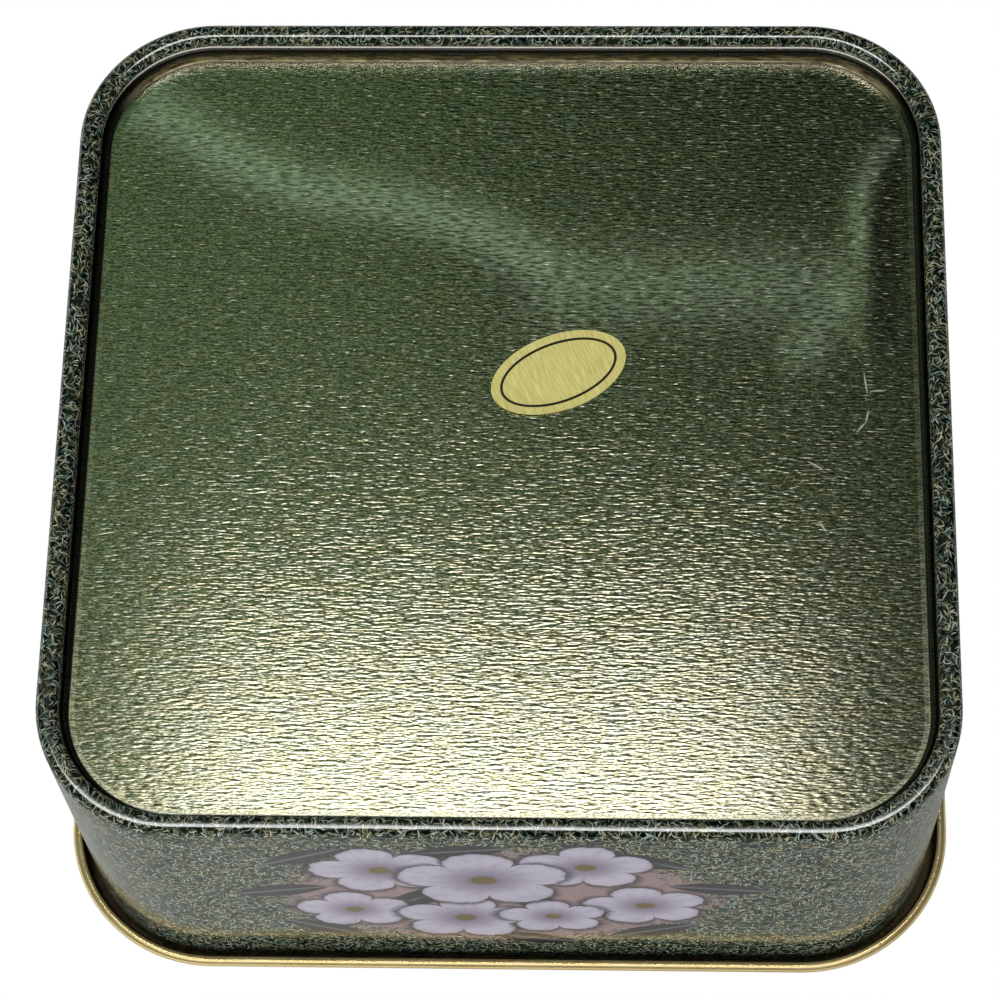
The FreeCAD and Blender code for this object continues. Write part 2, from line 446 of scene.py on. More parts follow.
def strand_group():
    """A node group that strews short tapered blades over a plane, one in each cell."""
    tree = bpy.data.node_groups.new("blades", "ShaderNodeTree")
    tree.interface.new_socket("Place", in_out="INPUT", socket_type="NodeSocketVector")
    for name in ("Half Length", "Half Width", "Share"):
        tree.interface.new_socket(name, in_out="INPUT", socket_type="NodeSocketFloat")
    for name in ("Mask", "Chance"):
        tree.interface.new_socket(name, in_out="OUTPUT", socket_type="NodeSocketFloat")
    graph = Graph(tree)
    given = tree.nodes.new("NodeGroupInput").outputs
    cells = graph.add("ShaderNodeTexVoronoi", {"Vector": given["Place"], "Scale": 1.0},
                      voronoi_dimensions="2D").outputs
    chance = graph.parts(cells["Color"])
    offset = graph.vector("SUBTRACT", given["Place"], cells["Position"])
    along = graph.parts(graph.turn(offset, graph.times(chance[0], 2 * math.pi)))
    square = graph.times(along[0], along[0])
    curve = graph.sum("MULTIPLY_ADD", chance[1], 2 * BLADE_CURVE, -BLADE_CURVE)
    across = graph.sum("ABSOLUTE", graph.sum("MULTIPLY_ADD", square, curve, along[1]))
    reach = graph.sum("DIVIDE", along[0], given["Half Length"])
    taper = graph.sum("MULTIPLY_ADD", graph.times(reach, reach), -1.0, 1.0)
    room = graph.minus(graph.times(taper, given["Half Width"]), across)
    kept = graph.sum("LESS_THAN", chance[2], given["Share"])
    mask = graph.ease(room, 0.0, BLADE_SOFTNESS)
    result = tree.nodes.new("NodeGroupOutput").inputs
    graph.put(result["Mask"], graph.times(mask, kept))
    graph.put(result["Chance"], graph.sum("FRACT", graph.times(chance[2], CHANCE_SPREAD)))
    return tree


STRANDS = strand_group()

# Layers of the grass print: cell size, share of cells, half length and half width in cells, colours
GROUND = ((0.001, 0.002, 0.002), (0.008, 0.013, 0.008))
STRAND_LAYERS = (
    (0.90, 0.95, 0.72, 0.150, (0.018, 0.030, 0.020), (0.055, 0.080, 0.050)),
    (0.82, 0.80, 0.74, 0.130, (0.050, 0.072, 0.055), (0.120, 0.150, 0.115)),
    (0.98, 0.70, 0.74, 0.105, (0.100, 0.130, 0.105), (0.220, 0.245, 0.200)),
    (0.86, 0.55, 0.72, 0.105, (0.160, 0.190, 0.165), (0.340, 0.355, 0.300)),
    (1.06, 0.45, 0.72, 0.090, (0.250, 0.275, 0.240), (0.480, 0.485, 0.430)),
    (0.76, 0.24, 0.68, 0.110, (0.350, 0.370, 0.330), (0.600, 0.600, 0.540)),
)
LAYER_SHIFT = (13.7, 5.3, 0)
TINT_OCHRE = (1.14, 1.00, 0.74)
TINT_TEAL = (0.86, 1.02, 0.98)
TINT_SCALE = 0.42
TINT_RUN = (0.36, 0.64)
GROUND_RUN = (0.35, 0.7)


def grass_print(graph, place):
    """Colour of the all-over print at a place on the sheet."""
    patch = graph.noise(graph.stretch(place, (TINT_SCALE, TINT_SCALE, 0)))
    colour = graph.mix(graph.ease(patch, *GROUND_RUN), *GROUND)
    cast = graph.mix(graph.ease(patch, *TINT_RUN), TINT_TEAL, TINT_OCHRE)
    for number, (cell, share, length, width, dark, light) in enumerate(STRAND_LAYERS):
        shift = [number * step for step in LAYER_SHIFT]
        spot = graph.stretch(place, (1 / cell, 1 / cell, 0), shift)
        strands = graph.add("ShaderNodeGroup", {}, node_tree=STRANDS)
        graph.fill(strands, place=spot, half_length=length, half_width=width, share=share)
        tint = graph.mix(strands.outputs["Chance"], dark, light)
        colour = graph.mix(strands.outputs["Mask"], colour, graph.mix(1.0, tint, cast, "MULTIPLY"))
    return colour


# Picture on the front wall: leaves (across, up, turn, half length, half width), then blossoms
# (across, up, radius, turn), in millimetres and radians, from the middle of the base hem
PICTURE_HALF = 40.0
PICTURE_REACH = (31.0, 22.0)
PICTURE_UP = 27.0
HEM_RUN = 3.6  # sheet in the hem, beyond the height of the wall
LEAVES = (
    (-29.5, 22.0, 0.15, 7.5, 2.6),
    (-20.5, 42.0, -0.5, 7.5, 2.6),
    (-19.0, 10.0, 0.5, 7.5, 2.6),
    (-4.0, 46.0, 0.3, 7.0, 2.4),
    (5.0, 6.5, -0.2, 7.5, 2.6),
    (24.5, 42.0, 0.6, 7.0, 2.4),
    (29.5, 24.5, -0.3, 7.5, 2.6),
    (25.5, 9.5, -0.6, 7.0, 2.4),
    (-3.5, 26.5, 1.0, 8.0, 3.0),
    (10.5, 27.0, -0.8, 8.0, 2.8),
)
BLOSSOMS = (
    (-11.5, 13.0, 9.0, 0.9),
    (20.0, 33.0, 8.0, 0.5),
    (-19.5, 30.0, 8.5, 0.2),
    (15.5, 15.0, 9.5, 0.1),
    (5.0, 36.5, 9.5, 1.0),
    (-7.0, 35.5, 7.5, 0.4),
    (2.0, 19.0, 11.5, 0.6),
)
PETALS = 5
PETAL_PALE = (0.37, 0.35, 0.43)
PETAL_DEEP = (0.17, 0.14, 0.20)
HEART = (0.11, 0.085, 0.030)
LEAF = (0.022, 0.021, 0.026)
LEAF_VEIN = (0.10, 0.10, 0.11)
EARTH = (0.25, 0.170, 0.180)
EARTH_RUN = (1.18, 1.42, 0.88, 0.0)  # where the earth ends, and how thick it is before and after
RAGGED_SCALE = 0.6  # of the noise that wears the picture's edges
RAGGED_EARTH = 0.8
RAGGED_PETAL = 0.16
VEIN_RUN = (0.1, 0.5)
LEAF_EDGE = (0.0, 0.3)
PETAL_NOTCH = 0.45  # the smaller it is, the narrower the notch between petals
PETAL_CORE = 0.50  # share of the radius inside the notches
PETAL_LOBE = 0.42  # share of it that a petal adds
PETAL_EDGE = (0.0, 0.25)
PETAL_SHADOW = (-1.8, 0.0, 0.0, 0.8)
PALE_RUN = (0.10, 0.72)  # from the heart outwards, in shares of the radius
RIM_RUN = (-0.2, 1.1, 0.45, 1.0)
STREAKS_ROUND = 5.0  # fine streaks of the petals, round the heart and away from it
STREAKS_OUT = 0.25
STREAK_RUN = (0.25, 0.6, 0.7, 1.0)
HEART_RUN = (0.12, 0.2)


def spindle(graph, place, across, up, turn, half_length, half_width):
    """A stroke with two pointed ends: how far inside it a place is, and how far from its axis."""
    offset = graph.vector("SUBTRACT", place, (across, up, 0))
    spot = graph.parts(graph.turn(offset, turn))
    along = graph.sum("DIVIDE", spot[0], half_length)
    room = graph.sum("MULTIPLY_ADD", graph.times(along, along), -half_width, half_width)
    aside = graph.sum("ABSOLUTE", spot[1])
    return graph.minus(room, aside), aside


def lay_leaf(graph, local, colour, leaf):
    """Lays a dark leaf with a paler vein over a colour."""
    room, aside = spindle(graph, local, *leaf)
    tint = graph.mix(graph.ease(aside, *VEIN_RUN), LEAF_VEIN, LEAF)
    return graph.mix(graph.ease(room, *LEAF_EDGE), colour, tint)


def lay_blossom(graph, local, colour, ragged, across, up, radius, turn):
    """Lays a blossom with streaked petals, and its soft shadow, over a colour."""
    offset = graph.vector("SUBTRACT", local, (across, up, 0))
    away = graph.length(offset)
    spot = graph.parts(offset)
    angle = graph.sum("ARCTAN2", spot[1], spot[0])
    lobe = graph.sum("ABSOLUTE", graph.sum("COSINE", graph.sum("MULTIPLY_ADD", angle, PETALS / 2, turn)))
    lobe = graph.sum("POWER", lobe, PETAL_NOTCH)
    tip = graph.sum("MULTIPLY_ADD", lobe, PETAL_LOBE * radius, PETAL_CORE * radius)
    tip = graph.sum("MULTIPLY_ADD", ragged, RAGGED_PETAL * radius, tip)
    room = graph.minus(tip, away)
    colour = graph.mix(graph.ease(room, *PETAL_SHADOW), colour, LEAF)
    streaks_round = graph.times(angle, STREAKS_ROUND)
    streaks = graph.noise(graph.combine(streaks_round, graph.times(away, STREAKS_OUT)))
    pale = graph.ease(graph.sum("DIVIDE", away, radius), *PALE_RUN)
    pale = graph.times(pale, graph.ease(room, *RIM_RUN))
    pale = graph.times(pale, graph.ease(streaks, *STREAK_RUN))
    colour = graph.mix(graph.ease(room, *PETAL_EDGE), colour, graph.mix(pale, PETAL_DEEP, PETAL_PALE))
    heart_start, heart_end = (share * radius for share in HEART_RUN)
    return graph.mix(graph.ease(away, heart_start, heart_end, 1.0, 0.0), colour, HEART)


def meadow_picture(graph, place, ground, middle):
    """Lays a spray of pale blossoms and dark leaves over the print, about the middle of the front wall."""
    local = graph.vector("SUBTRACT", place, (middle, HEM_RUN, 0))
    ragged = graph.noise(graph.stretch(place, (RAGGED_SCALE, RAGGED_SCALE, 0)), detail=4.0, roughness=0.65)
    share = graph.stretch(local, (1 / PICTURE_REACH[0], 1 / PICTURE_REACH[1], 0),
                          (0, -PICTURE_UP / PICTURE_REACH[1], 0))
    worn = graph.sum("MULTIPLY_ADD", ragged, RAGGED_EARTH, graph.length(share))
    colour = graph.mix(graph.ease(worn, *EARTH_RUN), ground, EARTH)
    for leaf in LEAVES:
        colour = lay_leaf(graph, local, colour, leaf)
    for blossom in BLOSSOMS:
        colour = lay_blossom(graph, local, colour, ragged, *blossom)
    return colour


TIN = (0.92, 0.89, 0.80)
# So little metal that the bare strip's pale colour shows as a painted glint
STRIP_METAL = 0.10
CHIP = (0.42, 0.39, 0.32)
CHIP_SCALE = 0.9
CHIP_RUN = (0.735, 0.76)
BARE_STRIP = (0.34, 0.44)  # print ends this far from the hem's cut edge
SIDE_GLINT = 0.15  # how bright its painted glint stays at the front and sides
BACK_RUN = (-9.0, 3.0)  # from the sides to the back, in millimetres of y beyond x
RIPPLE_SCALE = 0.12
RIPPLE_DEPTH = 0.08 * MM


def printed_tinplate(name, bare_start, picture_middle=None):
    """Print under clear varnish, with small chips down to the tin and a bare tin strip at the first edge,
    painted pale as a glint that is brightest at the back.
    """
    material, graph, shader = new_material(
        name, roughness=0.5, coat_weight=1.0, coat_roughness=0.14, coat_ior=1.5, specular_ior_level=0.0)
    place = graph.attribute(SHEET)
    colour = grass_print(graph, place)
    if picture_middle is not None:
        colour = meadow_picture(graph, place, colour, picture_middle)
    chips = graph.noise(graph.stretch(place, (CHIP_SCALE, CHIP_SCALE, 0)), detail=4.0, roughness=0.7)
    bare = graph.ease(chips, *CHIP_RUN)
    colour = graph.mix(bare, colour, CHIP)
    if bare_start:
        # Bare tin strip at the first edge, painted pale and dull as a glint that is brightest at the back
        spot = graph.parts(graph.object_mm())
        beyond = graph.minus(spot[1], graph.sum("ABSOLUTE", spot[0]))
        back = graph.ease(beyond, *BACK_RUN, SIDE_GLINT, 1.0)
        bare_glint = graph.times(graph.ease(graph.parts(place)[1], *BARE_STRIP, 1.0, 0.0), back)
        colour = graph.mix(bare_glint, colour, TIN)
        bare = graph.sum("MAXIMUM", bare, graph.times(bare_glint, STRIP_METAL))
    ripple = graph.noise(graph.stretch(place, (RIPPLE_SCALE, RIPPLE_SCALE, 0)))
    graph.fill(shader, base_color=colour, metallic=bare, coat_normal=graph.bump(ripple, RIPPLE_DEPTH))
    return material


# Grain of the lacquer: strokes per millimetre along x and y, and shifts that set its noises apart
FINE_GRAIN = (0.62, 2.9, 0)
BROAD_GRAIN = (0.20, 1.4, 0)
BROAD_SHIFT = (7, 3, 0)
BROAD_SHARE = 0.4
SPECKLE_GRAIN = (2.0, 4.6, 0)
SPECKLE_SHIFT = (2, 9, 0)
SPECKLE_SHARE = 0.5  # of the fine grain in the speckle
SPECKLE_RUN = (0.62, 0.88)
CAST_GRAIN = (0.16, 0.40, 0)
CAST_RUN = (0.35, 0.65)
BRUSH_LIGHT = (0.90, 0.84, 0.63)
BRUSH_DARK = (0.34, 0.34, 0.23)
BRUSH_WARM = (1.04, 1.00, 0.92)
BRUSH_COOL = (0.97, 1.00, 1.03)
BRUSH_DEPTH = 0.060 * MM
BRUSH_SMOOTH = (0.3, 0.7, 0.12, 0.18)  # low and high strokes of the fine grain, and their roughness
SHEEN_TINT = (0.64, 0.78, 0.53)  # painted sheen: a paler tint along the creases, where they catch the light
SHEEN_GRAIN = (0.34, 0.66, 0.25, 1.5)  # low and high strokes of the fine grain, and how thick it is there
SHEEN_SHARE = 1.2
SHEEN_DULL = 0.15

# Rim of the base pan, by the run along its section
PRESSED_RUN = (0.30, 0.50)  # the grain fades out beside the bend
TURNED_RUN = (0.90, 1.20)  # start of the bend
# Painted dark reflection: a mottled brown band at the back of the bend, from here up
DARK_BAND_RUN = (0.95, 1.35)
PAINTED_SHADE_RUN = (2.1, 2.7)  # where the painted shade of the crevice begins and where it is thickest
UNEVEN = 0.9  # how much the edges of the painted dark band and the painted shade wander
FRONT_RUN = (-18.0, -6.0, 1.0, 0.0)  # from the front to the sides, in millimetres of y beyond x
# Painted shade: near black in the crevice of the base rim and inside the lid's skirt
PAINTED_SHADE = (0.008, 0.007, 0.004)
# Colours, mottle and dullness of the painted dark band at the back
DARK_BAND_DEEP = (0.040, 0.032, 0.012)
DARK_BAND_LIGHT = (0.230, 0.190, 0.085)
DARK_BAND_SCALE = (0.45, 0.45, 3.0)
DARK_BAND_MOTTLE = (0.36, 0.66)
DARK_BAND_DULL = 0.6
PRESSED_ROUGHER = 0.10
# Painted highlight: pale tan line beside the bend at the back
BACK_HIGHLIGHT_TINT = (0.60, 0.54, 0.36)
BEND_DULL = (0.05, 1.00)  # how dull the bend is at the sides and at the front, so that its painted shade and painted highlight show
# Painted highlight: pale colour of the bend at the front
FRONT_HIGHLIGHT_PALE = (1.00, 0.99, 0.88)
# Painted shade: dark colour of the bend at the sides
SHADED = (0.07, 0.085, 0.055)

# Flat of the base panel
FLECK = (0.80, 0.84, 0.62)  # short pale strokes of the grain
FLECK_GRAIN = (0.62, 5.0, 0)
FLECK_SHIFT = (4, 1, 0)
FLECK_RUN = (0.645, 0.73)
FLECK_DULL = 0.40
MARK = (0.50, 0.52, 0.42)
MARK_HALF_WIDTH = 0.13
MARK_SOFTNESS = 0.04
MARK_DULL = 0.6

# Short scratches in the base panel: middle, turn, half length
MARKS = (
    (-48.9, 5.9, 1.69, 1.7),
    (-50.6, 4.8, -3.09, 1.1),
    (-49.0, 1.0, 1.35, 1.0),
    (-48.1, -0.7, 0.86, 1.0),
    (-41.9, -6.3, 2.61, 1.4),
    (-42.7, -15.2, 2.12, 1.0),
)


def rim_finish(graph, place, broad, colour):
    """Painted highlight at the front of the bend, painted shade at its sides, a painted highlight line and
    a painted dark band at the back, painted shade further up. Gives the colour, how dull it is and how
    much of the grain is pressed out."""
    climb = graph.parts(graph.attribute(SHEET))[1]
    spot = graph.parts(place)
    aside = graph.sum("ABSOLUTE", spot[0])
    back = graph.ease(graph.minus(spot[1], aside), *BACK_RUN)
    front = graph.ease(graph.sum("ADD", spot[1], aside), *FRONT_RUN)
    uneven = graph.sum("MULTIPLY_ADD", graph.minus(broad, NOISE_MIDDLE), UNEVEN, climb)
    dark_band_share = graph.times(graph.ease(uneven, *DARK_BAND_RUN), back)
    mottle = graph.noise(graph.stretch(place, DARK_BAND_SCALE), detail=3.0, roughness=0.65)
    dark_band = graph.mix(graph.ease(mottle, *DARK_BAND_MOTTLE), DARK_BAND_DEEP, DARK_BAND_LIGHT)
    pressed = graph.ease(climb, *PRESSED_RUN)
    turned = graph.ease(climb, *TURNED_RUN)
    # Painted shade on the bend at the sides, painted highlight on it at the front
    colour = graph.mix(turned, colour, graph.mix(front, SHADED, FRONT_HIGHLIGHT_PALE))
    # Painted highlight: a pale tan line beside the bend at the back
    colour = graph.mix(graph.times(pressed, back), colour, BACK_HIGHLIGHT_TINT)
    # Painted dark reflection: mottled brown band at the back
    colour = graph.mix(dark_band_share, colour, dark_band)
    # Painted shade in the crevice further up the rim
    colour = graph.mix(graph.ease(uneven, *PAINTED_SHADE_RUN), colour, PAINTED_SHADE)
    # The bend is dull where it holds painted shade and painted highlight, most at the front
    bend_dull = graph.times(turned, graph.minus(1.0, back))
    bend_dull = graph.times(bend_dull, graph.ease(front, 0.0, 1.0, *BEND_DULL))
    return colour, graph.sum("MULTIPLY_ADD", dark_band_share, DARK_BAND_DULL, bend_dull), pressed


def panel_finish(graph, place, colour, dull):
    """Pale flecks and short scratches on the flat of the panel. Gives the colour and how dull it is."""
    strokes = graph.noise(graph.stretch(place, FLECK_GRAIN, FLECK_SHIFT), detail=1.0)
    fleck = graph.ease(strokes, *FLECK_RUN)
    colour = graph.mix(fleck, colour, FLECK)
    dull = graph.sum("MULTIPLY_ADD", fleck, FLECK_DULL, dull)
    for across, along, turn, half_length in MARKS:
        room, _ = spindle(graph, place, across, along, turn, half_length, MARK_HALF_WIDTH)
        mark = graph.ease(room, -MARK_SOFTNESS, MARK_SOFTNESS)
        colour = graph.mix(mark, colour, MARK)
        dull = graph.sum("MAXIMUM", dull, graph.times(mark, MARK_DULL))
    return colour, dull


def brushed_lacquer(name, on_rim):
    """Tinplate with a short left-to-right grain under a thin greenish gold lacquer."""
    material, graph, shader = new_material(name)
    place = graph.object_mm()
    fine = graph.noise(graph.stretch(place, FINE_GRAIN), detail=1.0)
    broad = graph.noise(graph.stretch(place, BROAD_GRAIN, BROAD_SHIFT), detail=1.0)
    grain = graph.sum("MULTIPLY_ADD", broad, BROAD_SHARE, fine)
    speckle = graph.noise(graph.stretch(place, SPECKLE_GRAIN, SPECKLE_SHIFT), detail=1.0)
    speckle = graph.sum("MULTIPLY_ADD", fine, SPECKLE_SHARE, speckle)
    colour = graph.mix(graph.ease(speckle, *SPECKLE_RUN), BRUSH_DARK, BRUSH_LIGHT)
    cast = graph.ease(graph.noise(graph.stretch(place, CAST_GRAIN)), *CAST_RUN)
    colour = graph.mix(1.0, colour, graph.mix(cast, BRUSH_WARM, BRUSH_COOL), "MULTIPLY")
    # Painted sheen: a paler, duller tint along the creases, where light catches them
    painted_sheen = graph.times(graph.attribute(SHEEN_ATTRIBUTE, "Fac"), graph.ease(fine, *SHEEN_GRAIN))
    colour = graph.mix(graph.times(painted_sheen, SHEEN_SHARE), colour, SHEEN_TINT)
    roughness = graph.ease(fine, *BRUSH_SMOOTH)
    strength = 1.0
    if on_rim:
        colour, dull, pressed = rim_finish(graph, place, broad, colour)
        strength = graph.minus(1.0, pressed)
        roughness = graph.sum("MULTIPLY_ADD", pressed, PRESSED_ROUGHER, roughness)
    else:
        colour, dull = panel_finish(graph, place, colour, graph.times(painted_sheen, SHEEN_DULL))
    graph.fill(shader, base_color=colour, metallic=graph.minus(1.0, dull), roughness=roughness,
               normal=graph.bump(grain, BRUSH_DEPTH, strength))
    return material


GOLD_DEEP = (0.74, 0.54, 0.22)
GOLD_PALE = (0.92, 0.76, 0.42)
GOLD_METAL = 0.75
GOLD_SMOOTH = (0.2, 0.8, 0.22, 0.32)  # from the deep to the pale clouds, and their roughness
GOLD_GRAIN = (2.0, 2.0, 2.0)
GOLD_DEPTH = 0.008 * MM
CLOUD_SCALE = (0.15, 0.15, 0.15)
GOLD_CHIP = (0.05, 0.04, 0.03)
GOLD_CHIP_SCALE = (0.55, 0.55, 0.9)
GOLD_CHIP_SHIFT = (3, 1, 0)
GOLD_CHIP_RUN = (0.70, 0.73)
SKIRT_RUN = (1.0, 3.6, 7.35, 7.65)  # where painted shade inside the lid's skirt begins, is thick, and ends


def gold_lacquer(name, shaded_skirt):
    """Smooth gold lacquer of the inside and of the curl, with a few dark chips."""
    material, graph, shader = new_material(name, metallic=GOLD_METAL, specular_ior_level=0.2)
    place = graph.object_mm()
    cloud = graph.noise(graph.stretch(place, CLOUD_SCALE), detail=3.0)
    chips = graph.noise(graph.stretch(place, GOLD_CHIP_SCALE, GOLD_CHIP_SHIFT), detail=5.0, roughness=0.75)
    chips = graph.ease(chips, *GOLD_CHIP_RUN)
    colour = graph.mix(chips, graph.mix(cloud, GOLD_DEEP, GOLD_PALE), GOLD_CHIP)
    # Painted shade: near black and dull inside the lid's skirt, down to the curl
    if shaded_skirt:
        climb = graph.parts(graph.attribute(SHEET))[1]
        skirt_shade = graph.ease(climb, *SKIRT_RUN[2:], 1.0, 0.0)
        skirt_shade = graph.times(graph.ease(climb, *SKIRT_RUN[:2]), skirt_shade)
        colour = graph.mix(skirt_shade, colour, PAINTED_SHADE)
        graph.fill(shader, metallic=graph.sum("MULTIPLY_ADD", skirt_shade, -GOLD_METAL, GOLD_METAL))
    grain = graph.noise(graph.stretch(place, GOLD_GRAIN))
    graph.fill(shader, base_color=colour, roughness=graph.ease(cloud, *GOLD_SMOOTH),
               normal=graph.bump(graph.minus(grain, chips), GOLD_DEPTH))
    return material


SHEAR_DARK = (0.62, 0.56, 0.45)
SHEAR_LIGHT = (0.86, 0.82, 0.74)
SHEAR_GRAIN = (2.5, 12.0, 0)
SHEAR_DEPTH = 0.03 * MM


def bare_edge():
    """Cut edge of the sheet: bright tin with shear marks."""
    material, graph, shader = new_material("cut_edge", metallic=1.0, roughness=0.32)
    marks = graph.noise(graph.stretch(graph.attribute(SHEET), SHEAR_GRAIN), detail=3.0)
    graph.fill(shader, base_color=graph.mix(marks, SHEAR_DARK, SHEAR_LIGHT),
               normal=graph.bump(marks, SHEAR_DEPTH))
    return material


FOIL_DEEP = (0.56, 0.49, 0.13)
FOIL_PALE = (0.76, 0.70, 0.27)
FOIL_GRAIN = (6.0, 0.35, 0)
FOIL_RUN = (0.3, 0.7)
FOIL_DEPTH = 0.015 * MM
INK = (0.012, 0.011, 0.008)
INK_EDGE = (0.99, 1.01)


def gold_foil():
    """Satin gold foil with fine brush lines across it and a thin dark oval line."""
    material, graph, shader = new_material("gold_foil", metallic=0.2, roughness=0.42)
    place = graph.attribute(SHEET)
    lines = graph.noise(graph.stretch(place, FOIL_GRAIN), detail=3.0)
    colour = graph.mix(graph.ease(lines, *FOIL_RUN), FOIL_DEEP, FOIL_PALE)
    ring = 1.0
    for inset, inside in ((0.0, True), (RING_LINE, False)):
        oval = (2 / (RING_LENGTH - 2 * inset), 2 / (RING_WIDTH - 2 * inset), 0)
        reach = graph.length(graph.stretch(place, oval))
        part = graph.ease(reach, *INK_EDGE, float(inside), float(not inside))
        ring = graph.times(ring, part)
    graph.fill(shader, base_color=graph.mix(ring, colour, INK), normal=graph.bump(lines, FOIL_DEPTH))
    return material


# Pieces

CORNER_CENTRE = WALL - CORNER_RADIUS  # the wall, the pan and the lid share it
HALF = GAUGE / 2


def side_kinds(spans, count, right, cut, left):
    """Which material each face of a swept sheet takes: right side, cut end, left side, cut start."""
    turn = count // 2 - 1
    return [right if k < turn else cut if k == turn else left if k < count - 1 else cut for k in spans]


# Places in the lists of materials of the wall, the pan and the lid
WALL_PRINT, WALL_LACQUER, WALL_EDGE, WALL_PICTURE = range(4)
PAN_BRUSHED, PAN_EDGE, PAN_RIM = range(3)
LID_PRINT, LID_LACQUER, LID_EDGE, LID_SKIRT = range(4)


def make_body_wall(print_material, picture_material, lacquer, edge):
    """The wall, with a hem at each edge and the fine groove of its seam."""
    hem_in = WALL - HEM_WIDTH + HALF
    wall = WALL - HALF
    mouth_in = WALL - MOUTH_WIDTH + HALF
    top = MOUTH - HALF
    bend = MOUTH_WIDTH / 2 - HALF
    corners = (
        (hem_in, HEM_EDGE),
        (hem_in, HALF, HEM_BEND - HALF),
        (wall, HALF, HEM_BEND - HALF),
        (wall, top, bend),
        (mouth_in, top, bend),
        (mouth_in, MOUTH - MOUTH_WIDTH / 2 - MOUTH_LEG),
    )
    outline, run = sheet_outline(corners)
    groove = STEP_WIDTH / 2
    path = square_path(CORNER_CENTRE, CORNER_RADIUS,
                       (-groove - STEP_SLOPE, -groove, groove, groove + STEP_SLOPE))
    vertices, faces, places, spans, _ = sweep(outline, run, path, CORNER_CENTRE, True)
    x, y, z = vertices.T
    grooved = (y > WALL - HALF) & (np.abs(x) < groove + STEP_SLOPE / 2)
    grooved &= (z > SEAM_LOW) & (z < SEAM_HIGH)
    vertices[grooved, 1] -= STEP_DEPTH
    kinds = side_kinds(spans, len(outline), WALL_PRINT, WALL_EDGE, WALL_LACQUER)
    feet = path[0]
    for number, kind in enumerate(kinds):
        foot = feet[number // len(outline)]
        if kind == WALL_PRINT and foot[1] == -CORNER_CENTRE and abs(foot[0]) < PICTURE_HALF:
            kinds[number] = WALL_PICTURE
    materials = (print_material, lacquer, edge, picture_material)
    return make_piece("body_wall_sheet", vertices, faces, places, kinds, materials,
                      "box", "body_wall")


def make_base_pan(brushed, rim, edge):
    """The base pan: a softly creased panel in a recess, hooked over the hem of the wall."""
    chuck = CHUCK_FACE + HALF
    flange = HEM_EDGE + HALF
    lip = pan_high.x - HALF
    corners = (
        (CHUCK_FACE - CHUCK_FILLET - PANEL_MARGIN, PANEL + HALF),
        (CHUCK_FACE - CHUCK_FILLET - HOLD, PANEL + HALF, 0),
        (chuck, PANEL + HALF, CHUCK_FILLET + HALF),
        (chuck, flange, FLANGE_BEND - HALF),
        (lip, flange, LOCK_BEND),
        (lip, pan_low.z),
    )
    piece = make_pan("base_pan", corners, CORNER_RADIUS, creased, (PAN_RIM, PAN_EDGE, PAN_BRUSHED),
                     (PAN_BRUSHED, PAN_BRUSHED), (brushed, edge, rim), "box", "base_panel")
    mesh = piece.data
    spots = np.zeros(3 * len(mesh.vertices))
    mesh.vertices.foreach_get("co", spots)
    x, y, _ = spots.reshape(-1, 3).T / MM
    mesh.attributes.new(SHEEN_ATTRIBUTE, "FLOAT", "POINT").data.foreach_set("value", painted_sheen_share(x, y))
    return piece


def make_lid(print_material, lacquer, skirt_lacquer, edge):
    """The lid, with a round shoulder and an outward curl at the edge of its skirt."""
    skirt = SKIRT_FACE - HALF
    curl = CURL_RADIUS - HALF
    low = lid_low.z + HALF
    high = low + 2 * curl
    far = lid_high.x - HALF
    panel = lid_high.z - HALF
    corners = (
        (SKIRT_FACE - SHOULDER_BEND - PANEL_MARGIN, panel),
        (skirt, panel, SHOULDER_BEND - HALF),
        (skirt, low, curl),
        (far, low, curl),
        (far, high, curl),
        (SKIRT_FACE + CURL_END, high),
    )
    materials = (print_material, lacquer, edge, skirt_lacquer)
    return make_pan("lid_sheet", corners, SKIRT_FACE - CORNER_CENTRE, level,
                    (LID_SKIRT, LID_EDGE, LID_PRINT), (LID_LACQUER, LID_PRINT), materials,
                    "lid", "lid")


def make_pan(name, corners, radius, rise, rim_kinds, panel_kinds, materials, body, node):
    """A pressed sheet: a rim swept round, with a panel across each of its two faces."""
    outline, run = sheet_outline(corners)
    path = square_path(CORNER_CENTRE, radius)
    vertices, faces, places, spans, loops = sweep(outline, run, path, CORNER_CENTRE, False)
    kinds = side_kinds(spans, len(outline), *rim_kinds)
    for loop, kind in zip(loops, panel_kinds):
        vertices, made = fill_panel(vertices, loop, rise)
        faces += made
        kinds += [kind] * len(made)
        places += [tuple(tuple(vertices[corner, :2]) for corner in face) for face in made]
    return make_piece(name, vertices, faces, places, kinds, materials, body, node)


def make_seam_fold(lacquer):
    """The lock seam inside the back wall: two sheets folded flat, with round folds."""
    middle = WALL - GAUGE - GAUGE
    reach = SEAM_HALF_WIDTH - GAUGE
    outline = []
    for side, start in ((-1, math.pi / 2), (1, -math.pi / 2)):
        for k in range(SEAM_FOLD_STEPS + 1):
            angle = start + math.pi * k / SEAM_FOLD_STEPS
            outline.append((side * reach + GAUGE * math.cos(angle), middle + GAUGE * math.sin(angle)))
    count = len(outline)
    vertices = [(x, y, z) for z in (SEAM_LOW, SEAM_HIGH) for x, y in outline]
    faces = [(k, (k + 1) % count, (k + 1) % count + count, k + count) for k in range(count)]
    faces += [tuple(range(count)), tuple(range(count, 2 * count))]
    places = [tuple((vertices[corner][0], vertices[corner][2]) for corner in face) for face in faces]
    make_piece("seam_fold", np.array(vertices), faces, places, [0] * len(faces), (lacquer,),
               "box", None)


